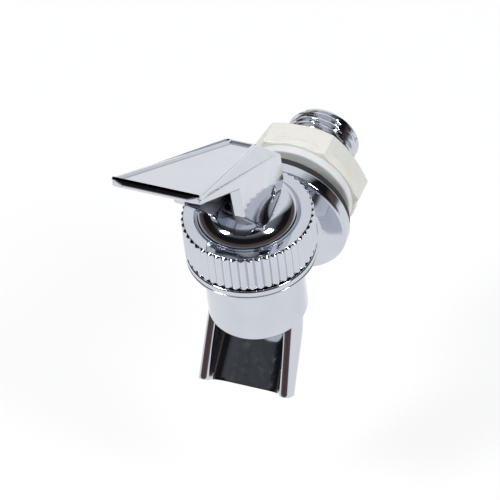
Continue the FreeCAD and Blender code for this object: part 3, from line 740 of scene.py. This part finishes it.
spout = bmesh.new()
columns = [[spout.verts.new(Vector((side, axis_y - out, height)) * MM)
            for side, out, height in column] for column in columns]
for column, following in zip(columns, columns[1:] + columns[:1]):
    for row in range(SPOUT_ROWS):
        spout.faces.new((column[row], column[row + 1], following[row + 1], following[row]))
count = (len(columns) - 2 * (CAP_STEPS - 1)) // 2
outer = columns[:count]
far_cap = columns[count:count + CAP_STEPS - 1]
inner = columns[count + CAP_STEPS - 1:len(columns) - CAP_STEPS + 1][::-1]
near_cap = columns[len(columns) - CAP_STEPS + 1:]
for end in (0, -1):
    for k in range(count - 1):
        spout.faces.new((outer[k][end], outer[k + 1][end], inner[k + 1][end], inner[k][end]))
    for edge_columns in ((outer[-1], *far_cap, inner[-1]), (inner[0], *near_cap, outer[0])):
        spout.faces.new([column[end] for column in edge_columns])
bmesh.ops.recalc_face_normals(spout, faces=spout.faces)
rim = [edge for edge in spout.edges if edge.calc_face_angle(0) > MOUTH_ABOVE
       and max(v.co.z for v in edge.verts) < SPOUT_KNEE * MM]
bmesh.ops.bevel(spout, geom=rim, offset=MOUTH_ROUND * MM, offset_type="OFFSET",
                segments=ROUND_STEPS, profile=0.5, affect="EDGES", clamp_overlap=True)

# Neck, flange and threaded tail are turned about the tail's axis.
low, high = size_of("body")
FLANGE = (-5.0, -2.0)
FLANGE_RADIUS = high.x
NECK_RADIUS = 8.2
NECK_FLARE = ((0.0, 1.2), (0.25, 0.45), (1.0, 0.0), (3.0, 0.0))
TAIL_CREST = 7.9
TAIL_CHAMFER = 1.0
THREAD_START = FLANGE[1] + 1.2
THREAD_DEPTH = 0.85
THREAD_PITCH = 1.5
THREAD_FLANK = 2.4
THREAD_CREST = 0.7
THREAD_ROWS = 8
CLOSE = 0.01
WATER_WAY = 5.5


def thread_groove(angle, along):
    """Share of a trapezoid thread's depth at a place: 0 on its crest, 1 at its root."""
    turn = (along / THREAD_PITCH - angle / (2 * math.pi)) % 1.0
    return min(1.0, max(0.0, THREAD_FLANK * (1 - abs(2 * turn - 1)) - THREAD_CREST))


def threaded(radius, angle, along):
    """The tail's radius, cut by a thread that fades at its start."""
    if along < THREAD_START or radius < TAIL_CREST - CLOSE:
        return radius
    fade = min(1.0, (along - THREAD_START) / THREAD_PITCH)
    return radius - THREAD_DEPTH * thread_groove(angle, along) * fade


thread_rows = THREAD_ROWS * int((high.y - FLANGE[1]) / THREAD_PITCH)
thread_way = high.y - TAIL_CHAMFER - FLANGE[1]
flange_start = NECK_RADIUS + NECK_FLARE[-1][0]
inlet = turned([
    (0, axis_y), (NECK_RADIUS, axis_y),
    *((NECK_RADIUS + wider, FLANGE[0] - before) for wider, before in NECK_FLARE[:-1]),
    *rounded([(flange_start, FLANGE[0], 0), (FLANGE_RADIUS, FLANGE[0], 0.7),
              (FLANGE_RADIUS, FLANGE[1], 0.4), (flange_start, FLANGE[1], 0)]),
    *((TAIL_CREST, FLANGE[1] + thread_way * k / thread_rows) for k in range(thread_rows + 1)),
    (TAIL_CREST - TAIL_CHAMFER, high.y), (0, high.y),
], (0, 0, 0), "Y", steps=120, shape=threaded)
barrel = turned(rounded([
    (0, BARREL_FOOT, 0), (BARREL_RADIUS, BARREL_FOOT, 0.6), (BARREL_RADIUS, COLLAR[0], 0.3),
    (COLLAR_RADIUS, COLLAR[0], 0.2), (COLLAR_RADIUS, COLLAR[0] + BEAD, 0.1),
    (COLLAR_RADIUS - BEAD, COLLAR[0] + BEAD * 1.5, 0),
    (COLLAR_RADIUS, COLLAR[0] + BEAD * 1.8, 0), (COLLAR_RADIUS, COLLAR[1], 0.4),
    (THROAT_RADIUS, COLLAR[1], 0.2), (THROAT_RADIUS, THROAT_TOP, 0.3), (0, THROAT_TOP, 0),
]), BARREL, "Z", steps=192)
bore = turned([
    (0, BARREL_FOOT - OVERCUT), (OUTLET, BARREL_FOOT - OVERCUT),
    (OUTLET, SEAT - SEAT_CHAMFER), (OUTLET + SEAT_CHAMFER, SEAT), (VALVE_BORE, SEAT),
    (VALVE_BORE, THROAT_TOP + OVERCUT), (0, THROAT_TOP + OVERCUT),
], BARREL, "Z", steps=144)
water_way = turned([
    (0, axis_y), (WATER_WAY, axis_y), (WATER_WAY, high.y + OVERCUT), (0, high.y + OVERCUT),
], (0, 0, 0), "Y", steps=96)
# The bore and the water way are cut once barrel, tail and spout are one solid.
bm = combine(combine(barrel, inlet, "UNION"), spout, "UNION")
bm = combine(combine(bm, bore, "DIFFERENCE"), water_way, "DIFFERENCE")
finish_piece("spigot_body", to_mesh(bm, "spigot_body"), "shell", "body", plate)

# Pivot pin. A cut length of drawn stainless wire, pushed through both cheeks and the eye of
# the stem. Its ends are rounded and lie just inside the cheeks.
STEEL_COLOUR = "b4b6b9"
STEEL_SHADE = "8f9296"
DRAWN_LINES = 0.12
DRAWN_LENGTH = 0.15
STEEL_ROUGHNESS = (0.22, 0.36)

steel, tree = new_material("drawn_stainless_steel")
# Drawing leaves fine lines along the wire, so its shine is soft and a little streaky. They
# are drawn some ten times as coarse as real ones to show.
place = add_node(tree, "ShaderNodeTexCoord").outputs["Object"]
stretched = add_node(tree, "ShaderNodeMapping", {
    "Vector": place, "Scale": (DRAWN_LENGTH, 1.0, 1.0)}).outputs["Vector"]
lines = add_node(tree, "ShaderNodeTexNoise", {
    "Vector": stretched, "Scale": 1 / (DRAWN_LINES * MM), "Detail": 3.0, "Roughness": 0.6})
tint = add_node(tree, "ShaderNodeMix", {
    "Factor": lines.outputs["Fac"], 6: to_linear(STEEL_SHADE), 7: to_linear(STEEL_COLOUR)},
    data_type="RGBA")
rough = add_node(tree, "ShaderNodeMapRange", {
    "Value": lines.outputs["Fac"], "From Min": 0.3, "From Max": 0.7,
    "To Min": STEEL_ROUGHNESS[0], "To Max": STEEL_ROUGHNESS[1]})
grain = add_node(tree, "ShaderNodeBump", {
    "Height": lines.outputs["Fac"], "Strength": 0.25, "Distance": 0.02 * MM})
shader = add_node(tree, "ShaderNodeBsdfPrincipled", {
    "Base Color": tint.outputs[2], "Metallic": 1.0, "Roughness": rough.outputs["Result"],
    "Normal": grain.outputs["Normal"]})
add_node(tree, "ShaderNodeOutputMaterial", {"Surface": shader.outputs[0]})

PIN_INSET = 0.35
PIN_PLAY = 0.03
PIN_ROUND = 0.35
PIN_HALF = pin_high.x - PIN_INSET
wire_radius = PIN_RADIUS - PIN_PLAY
bm = turned(rounded([
    (0, -PIN_HALF, 0), (wire_radius, -PIN_HALF, PIN_ROUND),
    (wire_radius, PIN_HALF, PIN_ROUND), (0, PIN_HALF, 0),
]), PIN, "X", steps=48)
finish_piece("pivot_pin_wire", to_mesh(bm, "pivot_pin_wire"), "handle", "pivot_pin",
             steel)

# Stem. Turned from white acetal bar: a button for the cup, a neck, a collar for the spring
# washer, and a flat-topped rod with the cross eye for the pin.
ACETAL_COLOUR = "f0eee8"
ACETAL_SHADE = "e2dfd7"
ACETAL_CLOUD = 3.0
ACETAL_ROUGHNESS = (0.32, 0.46)
TOOL_FEED = 0.35

acetal, tree = new_material("turned_white_acetal")
# The turning tool leaves faint rings, drawn three times as coarse as real ones to show.
place = add_node(tree, "ShaderNodeTexCoord").outputs["Object"]
rings = add_node(tree, "ShaderNodeTexWave", {
    "Vector": place, "Scale": 2 * math.pi / (20 * TOOL_FEED * MM), "Distortion": 0.4,
    "Detail": 2.0},
    bands_direction="Z")
cloud = add_node(tree, "ShaderNodeTexNoise", {
    "Vector": place, "Scale": 1 / (ACETAL_CLOUD * MM), "Detail": 3.0})
tint = add_node(tree, "ShaderNodeMix", {
    "Factor": cloud.outputs["Fac"], 6: to_linear(ACETAL_COLOUR), 7: to_linear(ACETAL_SHADE)},
    data_type="RGBA")
rough = add_node(tree, "ShaderNodeMapRange", {
    "Value": rings.outputs["Fac"],
    "To Min": ACETAL_ROUGHNESS[0], "To Max": ACETAL_ROUGHNESS[1]})
grain = add_node(tree, "ShaderNodeBump", {
    "Height": rings.outputs["Fac"], "Strength": 0.3, "Distance": 0.03 * MM})
shader = add_node(tree, "ShaderNodeBsdfPrincipled", {
    "Base Color": tint.outputs[2], "Roughness": rough.outputs["Result"], "IOR": 1.48,
    "Normal": grain.outputs["Normal"]})
add_node(tree, "ShaderNodeOutputMaterial", {"Surface": shader.outputs[0]})

low, high = size_of("stem")
cup_low, cup_high = size_of("valve_cup")
washer_low, washer_high = size_of("spring_washer")
STEM_RADIUS = 3.0
STEM_NECK = 2.2
STEM_COLLAR = 5.3
BUTTON_TOP = low.z + 2.4
EYE_RADIUS = PIN_RADIUS + 0.05
bm = turned(rounded([
    (0, low.z, 0), (STEM_RADIUS, low.z, 0.3), (STEM_RADIUS, BUTTON_TOP, 0.3),
    (STEM_NECK, BUTTON_TOP, 0.2), (STEM_NECK, cup_high.z, 0.05),
    (STEM_COLLAR, cup_high.z, 0.2), (STEM_COLLAR, washer_low.z, 0.2),
    (STEM_RADIUS, washer_low.z, 0.1), (STEM_RADIUS, high.z, 0.5), (0, high.z, 0),
]), BARREL, "Z", steps=96)
eye = turned([
    (0, -TIP_HALF), (EYE_RADIUS, -TIP_HALF), (EYE_RADIUS, TIP_HALF), (0, TIP_HALF),
], PIN, "X", steps=48)
bm = combine(bm, eye, "DIFFERENCE")
finish_piece("valve_stem", to_mesh(bm, "valve_stem"), "valve", "stem", acetal)

# Spring washer. A ring punched from stainless sheet and tumbled, which rolls its edges. It
# sits on the stem's collar and carries the spring.
WASHER_RADIUS = washer_high.x
WASHER_BORE = 3.08
WASHER_ROLLED = 0.2
WASHER_BURRED = 0.12
bm = turned(rounded([
    (WASHER_BORE, washer_low.z, WASHER_BURRED), (WASHER_RADIUS, washer_low.z, WASHER_ROLLED),
    (WASHER_RADIUS, washer_high.z, WASHER_BURRED), (WASHER_BORE, washer_high.z, WASHER_ROLLED),
]), BARREL, "Z", steps=96)
finish_piece("punched_spring_washer", to_mesh(bm, "punched_spring_washer"), "valve",
             "spring_washer", steel)

# Return spring. Stainless wire coiled hard, with a closed turn at each end and open turns
# between. It shortens by the valve's lift towards the bonnet, which holds its upper end.
low, high = size_of("return_spring")
WIRE = 0.4
SPRING_RADIUS = high.x - WIRE
CLOSED_TURN = 0.84
END_TURNS = 0.75
OPEN_TURNS = 3.5
WIRE_SIDES = 14
STEPS_PER_TURN = 48
EASE = 1 / 24
spring_foot, spring_head = low.z + WIRE, high.z - WIRE
turns = 2 * END_TURNS + OPEN_TURNS
rise = spring_head - spring_foot
open_pitch = (rise - 2 * END_TURNS * CLOSED_TURN) / OPEN_TURNS


def wire_height(turn):
    """Height of the wire after a number of turns: closed, open, closed."""
    if turn < END_TURNS:
        return spring_foot + turn * CLOSED_TURN
    if turn > turns - END_TURNS:
        return spring_head - (turns - turn) * CLOSED_TURN
    return spring_foot + END_TURNS * CLOSED_TURN + (turn - END_TURNS) * open_pitch


bm = bmesh.new()
rings = []
steps = int(turns * STEPS_PER_TURN)
for i in range(steps + 1):
    turn = turns * i / steps
    height = sum(wire_height(turn + k * EASE) for k in (-2, -1, 0, 1, 2)) / 5
    height = min(max(height, spring_foot), spring_head)
    angle = 2 * math.pi * turn
    outward = Vector((math.cos(angle), math.sin(angle), 0))
    middle = Vector(BARREL) + outward * SPRING_RADIUS + Vector((0, 0, height))
    rings.append([bm.verts.new((middle + outward * WIRE * math.cos(side)
                                + Vector((0, 0, WIRE)) * math.sin(side)) * MM)
                  for side in (2 * math.pi * k / WIRE_SIDES for k in range(WIRE_SIDES))])
for ring, following in zip(rings, rings[1:]):
    for k in range(WIRE_SIDES):
        near = (k + 1) % WIRE_SIDES
        bm.faces.new((ring[k], ring[near], following[near], following[k]))
bm.faces.new(reversed(rings[0]))
bm.faces.new(rings[-1])
bmesh.ops.recalc_face_normals(bm, faces=bm.faces)
spring = finish_piece("coiled_return_spring", to_mesh(bm, "coiled_return_spring"), "coil",
                      "return_spring", steel)
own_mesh(spring)

# Valve cup. One moulding of food-grade silicone: a plug that closes the outlet, a waist, and
# a lip that wipes the bore. It snaps over the stem's button.
SILICONE_COLOUR = "dfe1df"
SILICONE_SHADE = "cfd2d2"
SILICONE_CLOUD = 4.0
SILICONE_SKIN = 0.25
SILICONE_ROUGHNESS = (0.4, 0.6)
SILICONE_DEPTH = 1.2

silicone, tree = new_material("moulded_silicone")
# Milky and soft: light goes a little way in, and the satin skin is the mould's, drawn a few
# times as coarse as it is.
place = add_node(tree, "ShaderNodeTexCoord").outputs["Object"]
cloud = add_node(tree, "ShaderNodeTexNoise", {
    "Vector": place, "Scale": 1 / (SILICONE_CLOUD * MM), "Detail": 3.0})
skin = add_node(tree, "ShaderNodeTexNoise", {
    "Vector": place, "Scale": 1 / (SILICONE_SKIN * MM), "Detail": 3.0, "Roughness": 0.6})
tint = add_node(tree, "ShaderNodeMix", {
    "Factor": cloud.outputs["Fac"], 6: to_linear(SILICONE_COLOUR),
    7: to_linear(SILICONE_SHADE)}, data_type="RGBA")
rough = add_node(tree, "ShaderNodeMapRange", {
    "Value": skin.outputs["Fac"],
    "To Min": SILICONE_ROUGHNESS[0], "To Max": SILICONE_ROUGHNESS[1]})
grain = add_node(tree, "ShaderNodeBump", {
    "Height": skin.outputs["Fac"], "Strength": 0.2, "Distance": 0.03 * MM})
shader = add_node(tree, "ShaderNodeBsdfPrincipled", {
    "Base Color": tint.outputs[2], "Roughness": rough.outputs["Result"], "IOR": 1.41,
    "Subsurface Weight": 0.35, "Subsurface Scale": SILICONE_DEPTH * MM,
    "Normal": grain.outputs["Normal"]})
add_node(tree, "ShaderNodeOutputMaterial", {"Surface": shader.outputs[0]})

PLUG_RADIUS = 6.8
WAIST_RADIUS = 4.2
LIP_RADIUS = cup_high.x
LIP_BOTTOM = cup_high.z - 3.0
LIP_LEAD = 0.55
PLUG_TOP = cup_low.z + 2.4
CUP_FLOOR = cup_low.z + 1.6
bm = turned(rounded([
    (0, cup_low.z, 0), (PLUG_RADIUS, cup_low.z, 0.4), (PLUG_RADIUS, PLUG_TOP, 0.4),
    (WAIST_RADIUS, PLUG_TOP + PLUG_RADIUS - WAIST_RADIUS, 1.0),
    (WAIST_RADIUS, LIP_BOTTOM, 0.4), (LIP_RADIUS, LIP_BOTTOM + LIP_LEAD, 0.3),
    (LIP_RADIUS, cup_high.z, 0.4), (STEM_NECK, cup_high.z, 0.1),
    (STEM_NECK, BUTTON_TOP, 0), (STEM_RADIUS, BUTTON_TOP, 0), (STEM_RADIUS, CUP_FLOOR, 0),
    (0, CUP_FLOOR, 0),
]), BARREL, "Z", steps=120)
finish_piece("silicone_valve_cup", to_mesh(bm, "silicone_valve_cup"), "valve", "valve_cup",
             silicone)

# Bonnet seal. A flat ring of the cup's silicone. It lies on the throat, and the bonnet's
# shoulder squeezes it when the bonnet is screwed down.
low, high = size_of("bonnet_seal")
SEAL_BORE = 8.3
SEAL_ROUND = 0.15
bm = turned(rounded([
    (SEAL_BORE, low.z, SEAL_ROUND), (high.x, low.z, SEAL_ROUND), (high.x, high.z, SEAL_ROUND),
    (SEAL_BORE, high.z, SEAL_ROUND),
]), BARREL, "Z", steps=120)
finish_piece("bonnet_seal_ring", to_mesh(bm, "bonnet_seal_ring"), "shell", "bonnet_seal",
             silicone)

# Outer gasket. A black rubber ring, moulded flat. The pull of the nut squeezes it between the
# flange and the wall that the spigot is fitted to.
RUBBER_COLOUR = "1b1c1e"
RUBBER_BLOOM = "2b2c2f"
RUBBER_PATCH = 2.5
RUBBER_GRIT = 0.2
RUBBER_ROUGHNESS = (0.55, 0.75)

rubber, tree = new_material("moulded_black_rubber")
# A matt black with a faint grey bloom and the fine grain of the mould, drawn a few times as
# coarse as it is.
place = add_node(tree, "ShaderNodeTexCoord").outputs["Object"]
bloom = add_node(tree, "ShaderNodeTexNoise", {
    "Vector": place, "Scale": 1 / (RUBBER_PATCH * MM), "Detail": 4.0})
grit = add_node(tree, "ShaderNodeTexNoise", {
    "Vector": place, "Scale": 1 / (RUBBER_GRIT * MM), "Detail": 3.0, "Roughness": 0.7})
tint = add_node(tree, "ShaderNodeMix", {
    "Factor": bloom.outputs["Fac"], 6: to_linear(RUBBER_COLOUR), 7: to_linear(RUBBER_BLOOM)},
    data_type="RGBA")
rough = add_node(tree, "ShaderNodeMapRange", {
    "Value": grit.outputs["Fac"],
    "To Min": RUBBER_ROUGHNESS[0], "To Max": RUBBER_ROUGHNESS[1]})
grain = add_node(tree, "ShaderNodeBump", {
    "Height": grit.outputs["Fac"], "Strength": 0.35, "Distance": 0.04 * MM})
shader = add_node(tree, "ShaderNodeBsdfPrincipled", {
    "Base Color": tint.outputs[2], "Roughness": rough.outputs["Result"], "IOR": 1.52,
    "Normal": grain.outputs["Normal"]})
add_node(tree, "ShaderNodeOutputMaterial", {"Surface": shader.outputs[0]})

low, high = size_of("flange_gasket")
GASKET_BORE = 8.2
BORE_ROUND = 0.2
GASKET_ROUND = 0.5
bm = turned(rounded([
    (GASKET_BORE, low.y, BORE_ROUND), (high.x, low.y, GASKET_ROUND),
    (high.x, high.y, GASKET_ROUND), (GASKET_BORE, high.y, BORE_ROUND),
]), (0, 0, 0), "Y", steps=144)
finish_piece("outer_gasket", to_mesh(bm, "outer_gasket"), "shell", "flange_gasket",
             rubber)

# Inner washer. A thick moulded ring of the same silicone as the cup. It seals the far side of
# the wall, under the nut.
low, high = size_of("inner_washer")
INNER_ROUND = 0.45
bm = turned(rounded([
    (GASKET_BORE, low.y, BORE_ROUND), (high.x, low.y, INNER_ROUND),
    (high.x, high.y, INNER_ROUND), (GASKET_BORE, high.y, BORE_ROUND),
]), (0, 0, 0), "Y", steps=144)
finish_piece("inner_jar_washer", to_mesh(bm, "inner_jar_washer"), "shell", "inner_washer",
             silicone)

# Lock nut. Moulded natural nylon: a hexagon with a round foot and a thread that runs on the
# body's tail. Its corners are rounded off towards the open end.
NYLON_COLOUR = "e2e0d8"
NYLON_SHADE = "d4d1c7"
NYLON_CLOUD = 5.0
NYLON_SPARK = 0.3
NYLON_ROUGHNESS = (0.38, 0.55)
NYLON_DEPTH = 1.0

nylon, tree = new_material("moulded_natural_nylon")
# An ivory white that is a little waxy, with the fine spark texture of the mould, drawn a few
# times as coarse as it is.
place = add_node(tree, "ShaderNodeTexCoord").outputs["Object"]
cloud = add_node(tree, "ShaderNodeTexNoise", {
    "Vector": place, "Scale": 1 / (NYLON_CLOUD * MM), "Detail": 3.0})
spark = add_node(tree, "ShaderNodeTexNoise", {
    "Vector": place, "Scale": 1 / (NYLON_SPARK * MM), "Detail": 3.0, "Roughness": 0.6})
tint = add_node(tree, "ShaderNodeMix", {
    "Factor": cloud.outputs["Fac"], 6: to_linear(NYLON_COLOUR), 7: to_linear(NYLON_SHADE)},
    data_type="RGBA")
rough = add_node(tree, "ShaderNodeMapRange", {
    "Value": spark.outputs["Fac"],
    "To Min": NYLON_ROUGHNESS[0], "To Max": NYLON_ROUGHNESS[1]})
grain = add_node(tree, "ShaderNodeBump", {
    "Height": spark.outputs["Fac"], "Strength": 0.25, "Distance": 0.03 * MM})
shader = add_node(tree, "ShaderNodeBsdfPrincipled", {
    "Base Color": tint.outputs[2], "Roughness": rough.outputs["Result"], "IOR": 1.53,
    "Subsurface Weight": 0.15, "Subsurface Scale": NYLON_DEPTH * MM,
    "Normal": grain.outputs["Normal"]})
add_node(tree, "ShaderNodeOutputMaterial", {"Surface": shader.outputs[0]})

low, high = size_of("lock_nut")
NUT_SIDES = 6
NUT_FLATS = 12.0
NUT_FOOT = 2.0
NUT_BORE = 7.95
NUT_DOME_RADIUS = high.x + 1.0
NUT_DOME_DROP = 1.8
NUT_DOME_INSET = 0.4
NUT_THREAD = 0.6
NUT_LEAD = 1.2
NUT_LEAD_WAY = 0.25
NUT_ROUND = 0.3


def nut_thread(radius, angle, along):
    """The bore's radius, cut by the same thread as the tail's."""
    if radius < NUT_BORE - CLOSE or not low.y < along < high.y:
        return radius
    return radius + NUT_THREAD * thread_groove(angle, along)


hexagon = bmesh.new()
corner = NUT_FLATS / math.cos(math.pi / NUT_SIDES)
angles = [math.pi * (1 + 2 * k) / NUT_SIDES for k in range(NUT_SIDES)]
ends = [[hexagon.verts.new(Vector((corner * math.sin(a), y, corner * math.cos(a))) * MM)
         for a in angles] for y in (low.y, high.y)]
hexagon.faces.new(ends[0])
hexagon.faces.new(reversed(ends[1]))
for k in range(NUT_SIDES):
    near = (k + 1) % NUT_SIDES
    hexagon.faces.new((ends[0][near], ends[0][k], ends[1][k], ends[1][near]))
bmesh.ops.recalc_face_normals(hexagon, faces=hexagon.faces)
dome = turned([
    (0, low.y), (NUT_DOME_RADIUS, low.y), (NUT_DOME_RADIUS, high.y - NUT_DOME_DROP),
    (NUT_FLATS - NUT_DOME_INSET, high.y), (0, high.y),
], (0, 0, 0), "Y", steps=144)
foot = turned(rounded([
    (0, low.y, 0), (high.z, low.y, 0.5), (high.z, low.y + NUT_FOOT, 0.4),
    (0, low.y + NUT_FOOT, 0),
]), (0, 0, 0), "Y", steps=144)
nut_rows = THREAD_ROWS * int((high.y - low.y) / THREAD_PITCH)
thread_foot = low.y + 2 * NUT_LEAD_WAY
thread_way = high.y - low.y - 4 * NUT_LEAD_WAY
bore = turned([
    (0, low.y - OVERCUT), (NUT_BORE + NUT_LEAD, low.y - OVERCUT),
    (NUT_BORE, low.y + NUT_LEAD_WAY),
    *((NUT_BORE, thread_foot + thread_way * k / nut_rows) for k in range(nut_rows + 1)),
    (NUT_BORE, high.y - NUT_LEAD_WAY), (NUT_BORE + NUT_LEAD, high.y + OVERCUT),
    (0, high.y + OVERCUT),
], (0, 0, 0), "Y", steps=96, shape=nut_thread)
bm = edge_rounded(flats_merged(combine(hexagon, dome, "INTERSECT")), NUT_ROUND)
bm = combine(combine(bm, foot, "UNION"), bore, "DIFFERENCE")
finish_piece("hexagon_lock_nut", to_mesh(bm, "hexagon_lock_nut"), "shell", "lock_nut",
             nylon)
